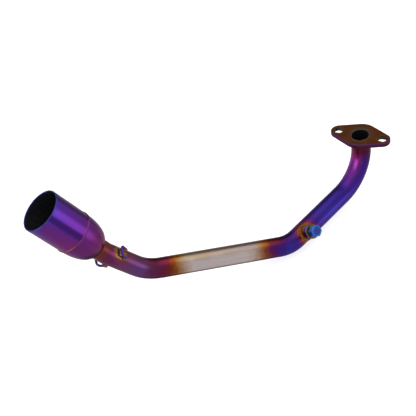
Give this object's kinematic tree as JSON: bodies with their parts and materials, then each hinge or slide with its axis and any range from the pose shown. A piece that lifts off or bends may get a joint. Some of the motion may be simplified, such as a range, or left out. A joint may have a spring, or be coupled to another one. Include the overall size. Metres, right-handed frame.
{
  "type": "exhaust header pipe",
  "caption": "Heat-tinted steel exhaust header pipe: two-stud port flange, bent tube, plugged sensor bung, domed reducer, slip-on tail sleeve and spring hooks.",
  "frame": {"origin": "centre of the port flange's sealing face", "axes": "+Z out of the sealing face into the engine's port; the tube leaves along -Z and turns towards -X; +Y is the side the tube swings to"},
  "size_m": [0.4375, 0.1793, 0.2122],
  "materials": {
    "flange_steel": "satin steel plate, tinted copper brown by heat",
    "weld_tint": "weld bead tinted straw, orange and purple",
    "tube_steel": "polished stainless tube, tinted purple and blue by heat, bare in the middle",
    "bung_steel": "turned steel, tinted lilac and blue",
    "washer_metal": "dull copper-coloured sealing washer",
    "plug_steel": "machined steel, tinted bright blue",
    "dome_steel": "polished stainless, tinted plum",
    "sleeve_steel": "polished stainless, tinted violet, with a blue mouth edge",
    "seam_tint": "smooth butt weld bead tinted pink and orange",
    "hook_wire": "round steel wire, tinted purple",
    "hook_weld": "weld bead tinted straw and gold"
  },
  "bodies": {
    "pipe": {"flange_plate": "flange_steel", "flange_weld": "weld_tint", "port_tube": "tube_steel", "port_bend": "tube_steel", "bung_tube": "tube_steel", "second_bend": "tube_steel", "middle_tube": "tube_steel", "third_bend": "tube_steel", "hook_tube": "tube_steel", "tail_bend": "tube_steel", "tail_tube": "tube_steel", "sensor_bung": "bung_steel", "bung_weld": "weld_tint", "reducer_dome": "dome_steel", "neck_weld": "weld_tint", "tail_sleeve": "sleeve_steel", "seam_weld": "seam_tint", "upper_spring_hook": "hook_wire", "upper_hook_welds": "hook_weld", "lower_spring_hook": "hook_wire", "lower_hook_welds": "hook_weld"},
    "washer": {"plug_washer": "washer_metal"},
    "plug": {"bung_plug": "plug_steel"}
  },
  "joints": [
    {"name": "plug_lift", "type": "slide", "parent": "pipe", "child": "washer", "axis": [-0.042, -0.7986, 0.6003], "range_m": [0, 0.01125]},
    {"name": "plug_turn", "type": "hinge", "parent": "washer", "child": "plug", "pos_m": [-0.12835, -0.01973, -0.0607], "axis": [-0.042, -0.7986, 0.6003], "range_deg": [0, 3240]}
  ],
  "couplings": [
    {"joint": "plug_turn", "follows": "plug_lift", "rad_per_m": 5026.5}
  ]
}
